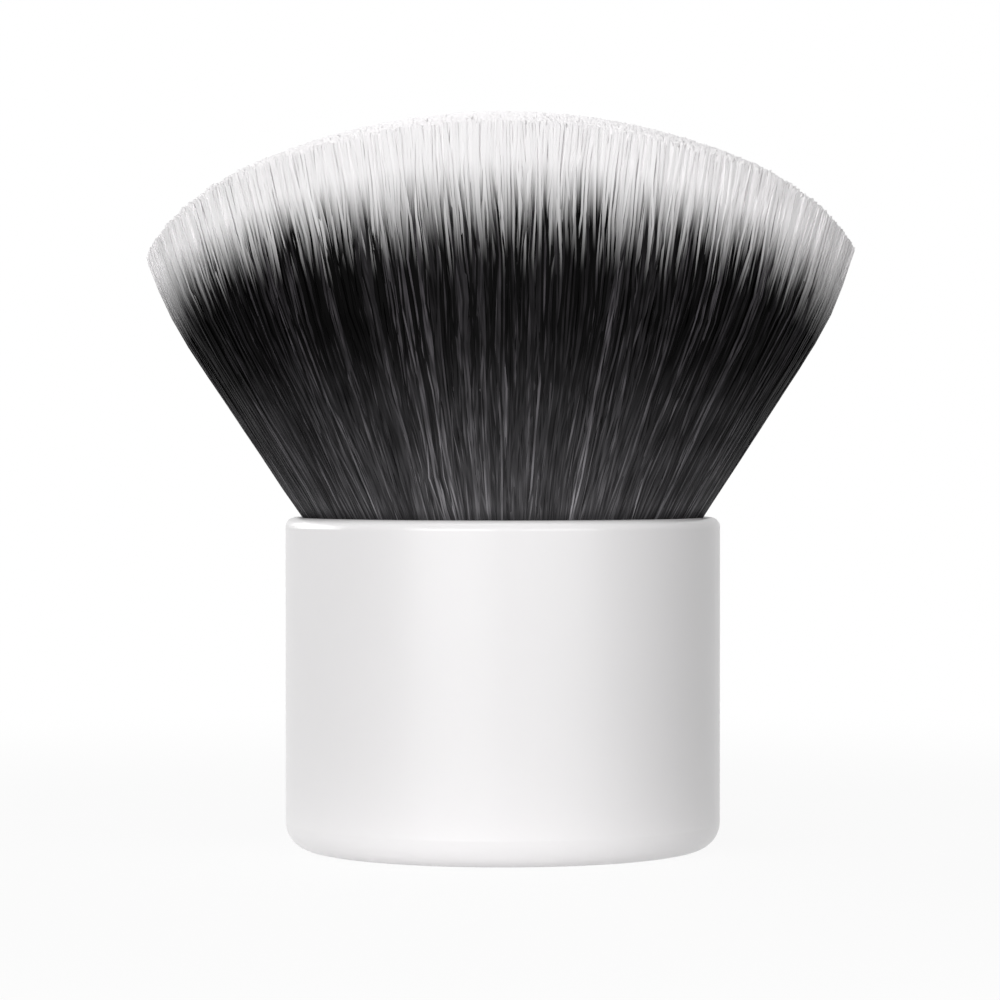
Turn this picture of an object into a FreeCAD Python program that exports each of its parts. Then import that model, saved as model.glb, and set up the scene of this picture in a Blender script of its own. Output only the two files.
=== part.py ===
"""Kabuki makeup brush: a short round handle cup with a wide oval head of fibres.

Millimetres, +Z up. The origin is the centre of the handle's base, on the surface it stands on.
+X runs along the wide way of the fibre head and -Y is the front.
"""

import FreeCAD
import Part

import math
import os

import Sketcher

from FreeCAD import Placement, Rotation, Vector

# Driving dimensions: alias, value and meaning.
SIZES = [
    ("handle_diameter", 40.0, "outside of the handle cup"),
    ("handle_height", 30.5, "base of the handle to its rim"),
    ("shell_wall", 1.2, "side wall of the handle cup"),
    ("shell_floor", 1.6, "floor of the handle cup"),
    ("base_rounding", 2.5, "outside edge of the base"),
    ("rim_rounding", 0.9, "outside edge of the rim"),
    ("mouth_rounding", 0.2, "inside edge of the rim"),
    ("bond_gap", 0.05, "film of glue between pieces that are bonded"),
    ("core_gap", 0.3, "room for glue between the core and the shell"),
    ("core_setback", 5.0, "top of the core below the rim"),
    ("core_wall", 1.8, "side wall of the core"),
    ("core_web", 2.0, "web between the weight and the socket"),
    ("core_foot_relief", 0.3, "room between the core's foot and the round inside the shell"),
    ("core_foot_wall", 1.0, "width of the core's foot on the shell's floor"),
    ("rib_count", 12.0, "crush ribs that centre the core in the shell"),
    ("rib_width", 1.2, "width of a crush rib"),
    ("rib_end_gap", 2.0, "crush rib to each end of the core"),
    ("ballast_thickness", 4.0, "steel weight"),
    ("ballast_gap", 0.25, "room round and over the weight"),
    ("ballast_bevel", 0.4, "edges of the weight"),
    ("spigot_diameter", 6.0, "spigot under the web, in the weight's hole"),
    ("spigot_gap", 0.15, "room between the spigot and its hole"),
    ("spigot_end_gap", 0.8, "end of the spigot above the shell's floor"),
    ("peg_diameter", 4.0, "peg on the web, in the plug"),
    ("peg_height", 4.0, "peg above the web"),
    ("peg_gap", 0.1, "room between the peg and the plug"),
    ("plug_width", 18.0, "spreader plug along the wide way of the head"),
    ("plug_depth", 8.0, "spreader plug across the head"),
    ("plug_draft", 0.4, "how far the plug draws in towards its top"),
    ("plug_gap", 0.1, "room between the plug and what stands round it"),
    ("resin_depth", 3.0, "resin in the bottom of the socket"),
    ("thread_diameter", 0.8, "binding thread"),
    ("thread_pitch", 1.5, "binding thread, turn to turn"),
    ("binding_rise", 1.2, "bound length beyond each end of the thread"),
    ("loose_rise", 4.5, "fibres that fill the socket above the bound length"),
    ("head_width", 61.2, "head at the shoulder, along its wide way"),
    ("head_depth", 40.2, "head at the shoulder, across it"),
    ("shoulder_rise", 18.5, "rim to the shoulder, where the shortest fibres end"),
    ("side_draw", 0.33, "how far each side still spreads above the shoulder, per unit of height"),
    ("front_draw", 0.085, "the same for the front and the back"),
    ("crown_rise", 37.0, "rim to the top of the head"),
    ("crown_radius", 55.5, "round of the head's top along its wide way"),
    ("crown_depth_radius", 130.0, "the same from front to back"),
    ("crown_rounding", 2.5, "edge between the head's top and its side"),
    ("lean_angle", 25.0, "how far the head leans each way"),
    ("lean_spare", 3.0, "slope of the head's underside beyond the lean, in degrees"),
    ("lean_flat", 2.0, "width of the flat at the bottom of the head"),
    ("lean_clearance", 1.0, "bottom of the head above the rim"),
    ("split_gap", 0.2, "gap between the head and the waist"),
]

doc = FreeCAD.newDocument("kabuki_brush")
sheet = doc.addObject("Spreadsheet::Sheet", "sizes")
for row, (alias, value, meaning) in enumerate(SIZES, start=1):
    sheet.set(f"A{row}", alias)
    sheet.set(f"B{row}", str(value))
    sheet.set(f"C{row}", meaning)
    sheet.setAlias(f"B{row}", alias)

# Sizes that follow from the driving dimensions, kept in the sheet as formulas.
FORMULAS = [
    ("shell_radius", "handle_diameter / 2"),
    ("bore_radius", "shell_radius - shell_wall"),
    ("floor_round", "base_rounding - shell_wall"),
    ("core_radius", "bore_radius - core_gap"),
    ("core_top", "handle_height - core_setback"),
    ("core_foot_bevel", "floor_round + core_foot_relief"),
    ("hollow_radius", "core_radius - core_foot_bevel - core_foot_wall"),
    ("ballast_radius", "hollow_radius - ballast_gap"),
    ("rib_radius", "bore_radius - bond_gap"),
    ("socket_radius", "core_radius - core_wall"),
    ("web_bottom", "shell_floor + ballast_thickness + ballast_gap"),
    ("web_top", "web_bottom + core_web"),
    ("resin_top", "web_top + resin_depth"),
    ("binding_radius", "socket_radius - bond_gap - thread_diameter / 2"),
    ("bound_radius", "binding_radius - thread_diameter / 2 - bond_gap"),
    ("binding_bottom", "resin_top + binding_rise"),
    ("bound_top", "core_top - loose_rise"),
    ("thread_turns", "floor((bound_top - binding_rise - binding_bottom) / thread_pitch)"),
    ("throat_radius", "socket_radius - bond_gap"),
    ("mouth_radius", "bore_radius - bond_gap - mouth_rounding"),
    ("shoulder_height", "handle_height + shoulder_rise"),
    ("crown_height", "handle_height + crown_rise"),
    ("crown_reach", "crown_rise - shoulder_rise + lean_clearance"),
    ("underside_slope", "tan((lean_angle + lean_spare) * 1 deg)"),
]
for row, (alias, formula) in enumerate(FORMULAS, start=len(SIZES) + 1):
    sheet.set(f"A{row}", alias)
    sheet.set(f"B{row}", f"={formula}")
    sheet.setAlias(f"B{row}", alias)
KNOWN_NAMES = {alias for alias, *_ in SIZES + FORMULAS}
doc.recompute()


def size(alias):
    """Value of a named size as a plain number."""
    return float(getattr(sheet, alias))


def bind(target, **formulas):
    """Bind properties of an object to formulas on the sheet's names."""
    for name, formula in formulas.items():
        target.setExpression(name.replace("__", "."), on_sheet(formula))


def on_sheet(formula):
    """Write each size's name in a formula as a reference to the sheet."""
    words = []
    word = ""
    for letter in formula + " ":
        if letter.isalnum() or letter == "_":
            word += letter
            continue
        known = word in KNOWN_NAMES
        words.append(f"sizes.{word}" if known else word)
        words.append(letter)
        word = ""
    return "".join(words).strip()


# Bodies made of sketches and features


def new_body(label):
    """A body whose label names its file."""
    body = doc.addObject("PartDesign::Body", label)
    body.Label = label
    return body


def origin_part(body, role):
    """The plane or axis of a body's origin with the given role."""
    return next(item for item in body.Origin.OriginFeatures if item.Role == role)


def level_sketch(body, name, height):
    """An empty horizontal sketch of a body at a height given as a formula."""
    sketch = body.newObject("Sketcher::SketchObject", name)
    sketch.AttachmentSupport = [(origin_part(body, "XY_Plane"), "")]
    sketch.MapMode = "FlatFace"
    bind(sketch, AttachmentOffset__Base__z=height)
    return sketch


def circle_sketch(body, name, height, radius):
    """A horizontal sketch of one circle round the axis."""
    sketch = level_sketch(body, name, height)
    circle = sketch.addGeometry(Part.Circle(Vector(0, 0, 0), Vector(0, 0, 1), 1.0))
    sketch.addConstraint(Sketcher.Constraint("Coincident", circle, 3, -1, 1))
    rule = sketch.addConstraint(Sketcher.Constraint("Radius", circle, 1.0))
    bind(sketch, **{f"Constraints[{rule}]": radius})
    return sketch


def rectangle_sketch(body, name, height, near, far, width):
    """A horizontal sketch of a rectangle across the X axis, from near to far."""
    sketch = level_sketch(body, name, height)
    start = [Vector(1, -1, 0), Vector(3, -1, 0), Vector(3, 1, 0), Vector(1, 1, 0)]
    sides = [
        sketch.addGeometry(Part.LineSegment(start[i], start[(i + 1) % 4]))
        for i in range(4)
    ]
    for i in range(4):
        sketch.addConstraint(
            Sketcher.Constraint("Coincident", sides[i], 2, sides[(i + 1) % 4], 1)
        )
    sketch.addConstraint(Sketcher.Constraint("Horizontal", sides[0]))
    for first, second in ((0, 2), (2, 0)):
        sketch.addConstraint(
            Sketcher.Constraint("Symmetric", sides[first], 1, sides[second], 2, -1)
        )
    rules = {
        near: Sketcher.Constraint("DistanceX", -1, 1, sides[0], 1, 1.0),
        far: Sketcher.Constraint("DistanceX", -1, 1, sides[0], 2, 3.0),
        width: Sketcher.Constraint("DistanceY", sides[1], 1, sides[1], 2, 2.0),
    }
    for formula, constraint in rules.items():
        rule = sketch.addConstraint(constraint)
        bind(sketch, **{f"Constraints[{rule}]": formula})
    return sketch


def add_feature(body, kind, sketch, length, downward=False):
    """A pad or pocket of a sketch, upwards unless it is turned downward."""
    feature = body.newObject(f"PartDesign::{kind}", f"{sketch.Name}_{kind.lower()}")
    feature.Profile = sketch
    bind(feature, Length=length)
    feature.Reversed = downward if kind == "Pad" else not downward
    sketch.Visibility = False
    doc.recompute()
    return feature


SAME_PLACE = 1e-4


def round_edges(shape, height, radius):
    """Names of a shape's circular edges round the axis at a height and radius."""
    names = []
    for number, edge in enumerate(shape.Edges, start=1):
        curve = edge.Curve
        if not isinstance(curve, Part.Circle):
            continue
        level = abs(curve.Center.z - height) < SAME_PLACE
        if level and abs(curve.Radius - radius) < SAME_PLACE:
            names.append(f"Edge{number}")
    return names


def soften(body, kind, base, edges, amount):
    """A fillet or chamfer on edges of a body's latest feature."""
    feature = body.newObject(f"PartDesign::{kind}", f"{base.Name}_{kind.lower()}")
    feature.Base = (base, edges)
    bind(feature, **{"Radius" if kind == "Fillet" else "Size": amount})
    doc.recompute()
    return feature


def make_handle_shell():
    """Round cup with a rounded base edge, a rounded rim and an even wall."""
    body = new_body("handle_shell")
    outline = circle_sketch(body, "shell_outline", "0", "shell_radius")
    block = add_feature(body, "Pad", outline, "handle_height")
    bore = circle_sketch(body, "shell_bore", "handle_height", "bore_radius")
    cup = add_feature(body, "Pocket", bore, "handle_height - shell_floor", downward=True)
    edges = round_edges(cup.Shape, 0, size("shell_radius"))
    foot = soften(body, "Fillet", cup, edges, "base_rounding")
    edges = round_edges(foot.Shape, size("shell_floor"), size("bore_radius"))
    inside = soften(body, "Fillet", foot, edges, "floor_round")
    edges = round_edges(inside.Shape, size("handle_height"), size("shell_radius"))
    rim = soften(body, "Fillet", inside, edges, "rim_rounding")
    edges = round_edges(rim.Shape, size("handle_height"), size("bore_radius"))
    soften(body, "Fillet", rim, edges, "mouth_rounding")
    return body, block


def make_handle_core():
    """Sleeve with a socket above its web, a hollow for the weight below it, and crush ribs."""
    body = new_body("handle_core")
    outline = circle_sketch(body, "core_outline", "shell_floor", "core_radius")
    block = add_feature(body, "Pad", outline, "core_top - shell_floor")
    socket = circle_sketch(body, "core_socket", "core_top", "socket_radius")
    add_feature(body, "Pocket", socket, "core_top - web_top", downward=True)
    hollow = circle_sketch(body, "core_hollow", "shell_floor", "hollow_radius")
    hollowed = add_feature(body, "Pocket", hollow, "web_bottom - shell_floor")
    edges = round_edges(hollowed.Shape, size("shell_floor"), size("core_radius"))
    soften(body, "Chamfer", hollowed, edges, "core_foot_bevel")
    spigot = circle_sketch(body, "core_spigot", "web_bottom", "spigot_diameter / 2")
    reach = "web_bottom - shell_floor - spigot_end_gap"
    add_feature(body, "Pad", spigot, reach, downward=True)
    peg = circle_sketch(body, "core_peg", "web_top", "peg_diameter / 2")
    add_feature(body, "Pad", peg, "peg_height")
    rib_foot = "shell_floor + core_foot_bevel + rib_end_gap"
    rib_outline = rectangle_sketch(
        body, "core_rib", rib_foot, "core_radius - core_wall / 2", "rib_radius", "rib_width"
    )
    rib_length = f"core_top - rib_end_gap - ({rib_foot})"
    rib = add_feature(body, "Pad", rib_outline, rib_length)
    ribs = body.newObject("PartDesign::PolarPattern", "core_ribs")
    ribs.Originals = [rib]
    ribs.Axis = (origin_part(body, "Z_Axis"), [""])
    ribs.Angle = 360
    bind(ribs, Occurrences="rib_count")
    body.Tip = ribs
    doc.recompute()
    return body, block


def make_ballast_disc():
    """Steel disc with bevelled edges and a hole for the core's spigot."""
    body = new_body("ballast_disc")
    outline = circle_sketch(body, "ballast_outline", "shell_floor", "ballast_radius")
    block = add_feature(body, "Pad", outline, "ballast_thickness")
    top = "shell_floor + ballast_thickness"
    hole = circle_sketch(body, "ballast_hole", top, "spigot_diameter / 2 + spigot_gap")
    bored = add_feature(body, "Pocket", hole, "ballast_thickness", downward=True)
    outer = size("ballast_radius")
    levels = [size("shell_floor"), size("shell_floor") + size("ballast_thickness")]
    edges = [name for level in levels for name in round_edges(bored.Shape, level, outer)]
    soften(body, "Chamfer", bored, edges, "ballast_bevel")
    return body, block


# Pieces made of primitives and booleans


def add_part(kind, name, **formulas):
    """A primitive or other simple object with its properties bound to the sheet."""
    part = doc.addObject(f"Part::{kind}", name)
    bind(part, **formulas)
    part.Visibility = False
    return part


def boolean(kind, name, base, tool):
    """Cut, fuse or common of two objects."""
    result = doc.addObject(f"Part::{kind}", name)
    result.Label = name
    result.Base = base
    result.Tool = tool
    return result


def loft(name, sections):
    """Solid through closed sections, with straight sides between them."""
    result = doc.addObject("Part::Loft", name)
    result.Label = name
    result.Sections = sections
    result.Solid = True
    result.Ruled = True
    return result


def oval(name, width, depth, height):
    """Level ellipse round the axis, wide along X."""
    return add_part(
        "Ellipse",
        name,
        MajorRadius=f"({width}) / 2",
        MinorRadius=f"({depth}) / 2",
        Placement__Base__z=height,
    )


def level_circle(name, radius, height):
    """Level circle round the axis."""
    return add_part("Circle", name, Radius=radius, Placement__Base__z=height)


def upright(name, radius, bottom, top):
    """Upright cylinder round the axis."""
    return add_part(
        "Cylinder",
        name,
        Radius=radius,
        Height=f"({top}) - ({bottom})",
        Placement__Base__z=bottom,
    )


def make_spreader_plug():
    """Oval plug, drawn in a little towards its top, with a blind hole for the core's peg."""
    foot = oval("plug_foot", "plug_width", "plug_depth", "web_top + bond_gap")
    head = oval(
        "plug_head", "plug_width - 2 * plug_draft", "plug_depth - 2 * plug_draft", "core_top - bond_gap"
    )
    block = loft("plug_block", [foot, head])
    hole = upright(
        "plug_hole", "peg_diameter / 2 + peg_gap", "web_top", "web_top + peg_height + peg_gap"
    )
    return boolean("Cut", "spreader_plug", block, hole)


def make_plug_room():
    """Room that the plug takes up in the resin and among the fibres."""
    width = "plug_width + 2 * plug_gap"
    depth = "plug_depth + 2 * plug_gap"
    foot = oval("plug_room_foot", width, depth, "web_top - plug_gap")
    head = oval("plug_room_head", width, depth, "core_top + plug_gap")
    return loft("plug_room", [foot, head])


def make_resin_bed(plug_room):
    """Cast resin that fills the bottom of the socket round the plug."""
    disc = upright("resin_disc", "socket_radius - bond_gap", "web_top + bond_gap", "resin_top")
    return boolean("Cut", "resin_bed", disc, plug_room)


def make_fibre_roots(plug_room):
    """Held length of the fibres: narrow where the thread binds it, full above."""
    bound = upright("bound_length", "bound_radius", "resin_top + bond_gap", "bound_top")
    loose = upright("loose_length", "throat_radius", "bound_top", "core_top")
    bundle = boolean("Fuse", "root_bundle", bound, loose)
    return boolean("Cut", "fibre_roots", bundle, plug_room)


def make_root_binding():
    """Thread wound round the roots as one tube on tilted half turns."""
    radius = size("binding_radius")
    pitch = size("thread_pitch")
    half_turns = round(2 * size("thread_turns"))
    first = size("binding_bottom")
    bulge = math.hypot(radius, pitch / 4)
    arcs = []
    for index in range(half_turns):
        side = 1 if index % 2 == 0 else -1
        low = first + index * pitch / 2
        start = Vector(side * radius, 0, low)
        middle = Vector(0, side * bulge, low + pitch / 4)
        end = Vector(-side * radius, 0, low + pitch / 2)
        arcs.append(Part.Arc(start, middle, end).toShape())
    path = Part.Wire(arcs)
    thread_radius = size("thread_diameter") / 2
    section = Part.Wire(
        Part.makeCircle(thread_radius, Vector(radius, 0, first), Vector(0, 1, 0))
    )
    sweep = Part.BRepOffsetAPI.MakePipeShell(path)
    sweep.add(section)
    sweep.build()
    sweep.makeSolid()
    binding = doc.addObject("Part::Feature", "root_binding")
    binding.Label = "root_binding"
    binding.Shape = sweep.shape()
    binding.Placement = Placement()
    tube_volume = math.pi * thread_radius**2 * path.Length
    print(f"root_binding: volume over section times length {binding.Shape.Volume / tube_volume:.4f}")
    gap = least_turn_gap(path, half_turns) - 2 * thread_radius
    print(f"root_binding: least gap between turns {gap:.2f} mm")
    return binding


def least_turn_gap(path, half_turns):
    """Least distance between points of a winding's path that are half a turn or more apart."""
    points_per_half_turn = 24
    points = path.discretize(Number=half_turns * points_per_half_turn + 1)
    return min(
        point.distanceToPoint(other)
        for number, point in enumerate(points)
        for other in points[number + points_per_half_turn:]
    )


def crown_edges(shape):
    """Numbers of the edges that run round the head between its top and its side."""
    shoulder = size("shoulder_height")
    return [
        number
        for number, edge in enumerate(shape.Edges, start=1)
        if edge.BoundBox.ZMin > shoulder and edge.Length > size("head_width")
    ]


def make_fibre_envelope():
    """The fibres above the core: throat, flare, shoulder and domed crown."""
    throat = level_circle("throat", "throat_radius", "core_top + bond_gap")
    mouth = level_circle("mouth", "mouth_radius", "handle_height")
    shoulder = oval("shoulder", "head_width", "head_depth", "shoulder_height")
    crown = oval(
        "crown",
        "head_width + 2 * side_draw * crown_reach",
        "head_depth + 2 * front_draw * crown_reach",
        "shoulder_height + crown_reach",
    )
    flare = loft("fibre_flare", [throat, mouth, shoulder, crown])
    dome = add_part(
        "Torus",
        "crown_dome",
        Radius1="crown_depth_radius - crown_radius",
        Radius2="crown_radius",
        Placement__Base__z="crown_height - crown_depth_radius",
    )
    dome.Placement = Placement(Vector(0, 0, 0), Rotation(Vector(0, 1, 0), 90))
    whole = boolean("Common", "fibre_blank", flare, dome)
    doc.recompute()
    envelope = doc.addObject("Part::Fillet", "fibre_envelope")
    envelope.Base = whole
    rounding = size("crown_rounding")
    envelope.Edges = [(number, rounding, rounding) for number in crown_edges(whole.Shape)]
    return envelope


def lean_trough(name, bottom):
    """Trough along X with sloping sides, above which the fibres lean as one."""
    trough = add_part(
        "Wedge",
        name,
        Xmin="-head_width",
        Xmax="head_width",
        X2min="-head_width",
        X2max="head_width",
        Ymin="0",
        Ymax="handle_height + crown_rise",
        Zmin="-lean_flat / 2",
        Zmax="lean_flat / 2",
        Z2min="-lean_flat / 2 - (handle_height + crown_rise) / underside_slope",
        Z2max="lean_flat / 2 + (handle_height + crown_rise) / underside_slope",
        Placement__Base__z=bottom,
    )
    trough.Placement = Placement(Vector(0, 0, 0), Rotation(Vector(1, 0, 0), 90))
    return trough


def make_fibre_head(envelope):
    """Free length of the fibres, sloped underneath so that it clears the rim as it leans."""
    trough = lean_trough("head_trough", "handle_height + lean_clearance")
    return boolean("Common", "fibre_head", envelope, trough)


def make_fibre_waist(envelope):
    """Bending length of the fibres, in the throat and under the head."""
    trough = lean_trough("waist_trough", "handle_height + lean_clearance - split_gap")
    return boolean("Cut", "fibre_waist", envelope, trough)


hollowed_bodies = [make_handle_shell(), make_handle_core(), make_ballast_disc()]
plug_space = make_plug_room()
fibres = make_fibre_envelope()
pieces = [body for body, _ in hollowed_bodies] + [
    make_spreader_plug(),
    make_resin_bed(plug_space),
    make_root_binding(),
    make_fibre_roots(plug_space),
    make_fibre_waist(fibres),
    make_fibre_head(fibres),
]
doc.recompute()

# Nothing is written unless every object is sound and every hollow was really cut.
faults = [item.Label for item in doc.Objects if {"Invalid", "Error"} & set(item.State)]
faults += [piece.Label for piece in pieces if piece.Shape.isNull() or not piece.Shape.isValid()]
faults += [piece.Label for piece in pieces if len(piece.Shape.Solids) != 1]
faults += [body.Label for body, block in hollowed_bodies if body.Shape.Volume >= block.Shape.Volume]
if faults:
    raise RuntimeError(f"these objects are not sound: {sorted(set(faults))}")

os.makedirs("parts", exist_ok=True)
for piece in pieces:
    piece.Shape.exportStep(f"parts/{piece.Label}.step")
    box = piece.Shape.optimalBoundingBox()
    print(f"{piece.Label}: {box.XLength:.2f} x {box.YLength:.2f} x {box.ZLength:.2f} mm")
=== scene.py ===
"""Looks of a kabuki makeup brush: a white lacquered handle cup and a wide head of tipped fibres.

Metres, +Z up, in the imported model's own frame: +X runs along the wide way of the head, -Y is the front.
"""

import logging
import math
from dataclasses import dataclass
from enum import Enum
from typing import Any, Union

import bpy
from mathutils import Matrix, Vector


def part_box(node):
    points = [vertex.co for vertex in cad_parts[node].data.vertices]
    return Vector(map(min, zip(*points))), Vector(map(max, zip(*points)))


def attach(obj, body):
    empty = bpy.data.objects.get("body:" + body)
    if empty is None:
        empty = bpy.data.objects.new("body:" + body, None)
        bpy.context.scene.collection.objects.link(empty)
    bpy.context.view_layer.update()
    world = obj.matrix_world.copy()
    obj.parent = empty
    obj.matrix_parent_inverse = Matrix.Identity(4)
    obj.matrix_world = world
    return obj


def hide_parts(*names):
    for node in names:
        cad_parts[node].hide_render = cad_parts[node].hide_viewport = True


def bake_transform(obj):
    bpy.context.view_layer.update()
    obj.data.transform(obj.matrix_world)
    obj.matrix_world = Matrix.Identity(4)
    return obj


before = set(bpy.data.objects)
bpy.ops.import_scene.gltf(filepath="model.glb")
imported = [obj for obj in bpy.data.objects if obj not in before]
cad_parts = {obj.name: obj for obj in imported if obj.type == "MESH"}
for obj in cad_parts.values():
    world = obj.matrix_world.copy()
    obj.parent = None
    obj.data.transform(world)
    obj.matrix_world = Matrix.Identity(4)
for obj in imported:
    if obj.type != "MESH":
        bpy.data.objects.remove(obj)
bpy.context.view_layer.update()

LOG = logging.getLogger("kabuki_brush")
MM = 0.001
WHITE = (1.0, 1.0, 1.0)
SMOOTH = {"interpolation_type": "SMOOTHSTEP"}
GOLDEN_ANGLE = math.pi * (3 - math.sqrt(5))
HANDLE_BODY = "handle"

# The map that every fibre carries: one narrow column per kind of fibre, from the rim at 0 to the crown at 1.
# A kind has a tone and a place on that way at which its white starts.
FIBRE_MAP = "OFBake"
TONE_STEPS = 8
WHITE_STEPS = 32
WHITE_LOWEST = 0.56
WHITE_HIGHEST = 0.84
COLUMNS = TONE_STEPS * WHITE_STEPS
COLUMN_INSET = 0.15
# A tube's middle corner stands one margin higher on the map than the others, so that its caps have an area.
# On average the rim then lies at MAP_FOOT, and the crown is MAP_SPAN above it.
MAP_MARGIN = 0.01
MAP_FOOT = 1.5 * MAP_MARGIN
MAP_SPAN = 1 - 3 * MAP_MARGIN
TUBE_SIDES = 3
# How far a tube is turned round its line so that one of its flat sides faces away from the head's axis.
FLAT_SIDE_OUT = math.radians(30)
TILT_SCATTER = math.radians(12)

Socket = bpy.types.NodeSocket
Colour = tuple[float, float, float]
Span = tuple[float, float]
Number = Union["Value", float, int]


class Value:
    """A number socket that takes part in Python arithmetic by adding Math nodes."""

    def __init__(self, wiring: "Wiring", socket: Socket) -> None:
        """Keeps the socket and the tree that it belongs to."""
        self.wiring = wiring
        self.socket = socket

    def __add__(self, other: Number) -> "Value":
        """This value plus another."""
        return self.wiring.maths("ADD", self, other)

    __radd__ = __add__

    def __sub__(self, other: Number) -> "Value":
        """This value less another."""
        return self.wiring.maths("SUBTRACT", self, other)

    def __rsub__(self, other: Number) -> "Value":
        """Another value less this one."""
        return self.wiring.maths("SUBTRACT", other, self)

    def __mul__(self, other: Number) -> "Value":
        """This value times another."""
        return self.wiring.maths("MULTIPLY", self, other)

    __rmul__ = __mul__

    def __truediv__(self, other: Number) -> "Value":
        """This value over another."""
        return self.wiring.maths("DIVIDE", self, other)

    def __rtruediv__(self, other: Number) -> "Value":
        """Another value over this one."""
        return self.wiring.maths("DIVIDE", other, self)

    def __pow__(self, other: Number) -> "Value":
        """This value to a power."""
        return self.wiring.maths("POWER", self, other)

    def __abs__(self) -> "Value":
        """This value without its sign."""
        return self.wiring.maths("ABSOLUTE", self)

    def __floor__(self) -> "Value":
        """The whole number at or below this value."""
        return self.wiring.maths("FLOOR", self)

    def square(self) -> "Value":
        """This value times itself."""
        return self * self

    def root(self) -> "Value":
        """The square root of this value."""
        return self.wiring.maths("SQRT", self)

    def sine(self) -> "Value":
        """The sine of this angle."""
        return self.wiring.maths("SINE", self)

    def cosine(self) -> "Value":
        """The cosine of this angle."""
        return self.wiring.maths("COSINE", self)

    def wave(self) -> "Value":
        """The sine of this angle, moved to run from 0 to 1."""
        return self.sine() * 0.5 + 0.5

    def at_most(self, other: Number) -> "Value":
        """The lesser of this value and another."""
        return self.wiring.maths("MINIMUM", self, other)

    def at_least(self, other: Number) -> "Value":
        """The greater of this value and another."""
        return self.wiring.maths("MAXIMUM", self, other)

    def blended_minimum(self, other: Number, softness: Number) -> "Value":
        """The lesser of two values, rounded where they meet."""
        return self.wiring.maths("SMOOTH_MIN", self, other, softness)

    def rising(self, low: Number, high: Number) -> "Value":
        """0 below low, 1 above high and a smooth rise between."""
        sockets = {"Value": self, "From Min": low, "From Max": high}
        return Value(self.wiring, self.wiring.add("ShaderNodeMapRange", SMOOTH, sockets).outputs["Result"])

    def between(self, start: Number, end: Number) -> "Value":
        """The value this far on the way from start to end."""
        return start + (end - start) * self


class Wiring:
    """Adds nodes to one node tree and links them."""

    def __init__(self, tree: bpy.types.NodeTree) -> None:
        """Keeps the tree."""
        self.tree = tree

    def add(
        self, kind: str, settings: dict[str, Any] | None = None, sockets: dict[str | int, Any] | None = None
    ) -> bpy.types.Node:
        """Adds a node.

        Args:
            kind: Blender's name for the node's type.
            settings: The node's own properties, which are set first.
            sockets: Values or links of the inputs, by name or number.

        Returns:
            The new node.
        """
        node = self.tree.nodes.new(kind)
        for name, setting in (settings or {}).items():
            setattr(node, name, setting)
        for key, value in (sockets or {}).items():
            self.feed(self.find(node.inputs, key), value)
        return node

    @staticmethod
    def find(sockets: bpy.types.bpy_prop_collection, key: str | int) -> Socket:
        """The socket with a number, or the one in use with a name."""
        named = (socket for socket in sockets if socket.enabled and socket.name == key)
        return sockets[key] if isinstance(key, int) else next(named)

    def feed(self, socket: Socket, value: Any) -> None:
        """Links an input or sets it.

        Args:
            socket: The input.
            value: A value or a socket to link to it, or the plain number, colour or text that it holds.
        """
        if isinstance(value, Value):
            self.tree.links.new(value.socket, socket)
        elif isinstance(value, Socket):
            self.tree.links.new(value, socket)
        elif isinstance(value, tuple) and socket.type == "RGBA":
            socket.default_value = (*value, 1.0)
        else:
            socket.default_value = value

    def maths(self, operation: str, *inputs: Number) -> Value:
        """Adds a Math node."""
        node = self.add("ShaderNodeMath", {"operation": operation}, dict(enumerate(inputs)))
        return Value(self, node.outputs[0])

    def angle(self, y: Number, x: Number) -> Value:
        """The direction of a place, in radians from X."""
        return self.maths("ARCTAN2", y, x)

    def parts(self, vector: Socket) -> tuple[Value, Value, Value]:
        """The three numbers of a vector or a colour."""
        node = self.add("ShaderNodeSeparateXYZ", sockets={"Vector": vector})
        return tuple(Value(self, socket) for socket in node.outputs)

    def vector(self, x: Number, y: Number, z: Number) -> Socket:
        """A vector from three numbers."""
        return self.add("ShaderNodeCombineXYZ", sockets={"X": x, "Y": y, "Z": z}).outputs[0]

    def mixed(self, share: Number, first: Any, second: Any) -> Socket:
        """Two colours mixed, with this share of the second."""
        sockets = {"Factor": share, "A": first, "B": second}
        return self.find(self.add("ShaderNodeMix", {"data_type": "RGBA"}, sockets).outputs, "Result")

    def scaled(self, colour: Any, factor: Number) -> Socket:
        """A colour or a vector times a number."""
        node = self.add("ShaderNodeVectorMath", {"operation": "SCALE"}, {0: colour, "Scale": factor})
        return node.outputs["Vector"]

    def noise(self, place: Any, scale: Number, detail: float = 2.0) -> Value:
        """Cloudy noise from 0 to 1 at a place."""
        sockets = {"Vector": place, "Scale": scale, "Detail": detail}
        return Value(self, self.add("ShaderNodeTexNoise", sockets=sockets).outputs["Fac"])

    def seen(self) -> Value:
        """Tells rays that are seen from rays that only carry light.

        Returns:
            1 for a ray from the camera, off a gloss or through glass, else 0.
        """
        path = self.add("ShaderNodeLightPath").outputs
        camera, glossy, through = (
            Value(self, path[f"Is {kind} Ray"]) for kind in ("Camera", "Glossy", "Transmission")
        )
        return camera.at_least(glossy).at_least(through)


@dataclass(frozen=True)
class Clouding:
    """A cloudy pattern: its noise, and the levels of that noise between which it rises from 0 to 1."""

    scale: float
    detail: float
    low: float
    high: float

    def over(self, wiring: Wiring, place: Socket) -> Value:
        """The pattern at a place."""
        return wiring.noise(place, self.scale, self.detail).rising(self.low, self.high)


@dataclass(frozen=True)
class Relief:
    """How far a pattern stands out from its lowest to its highest, in metres, and how much of that shows."""

    depth: float
    strength: float


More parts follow.
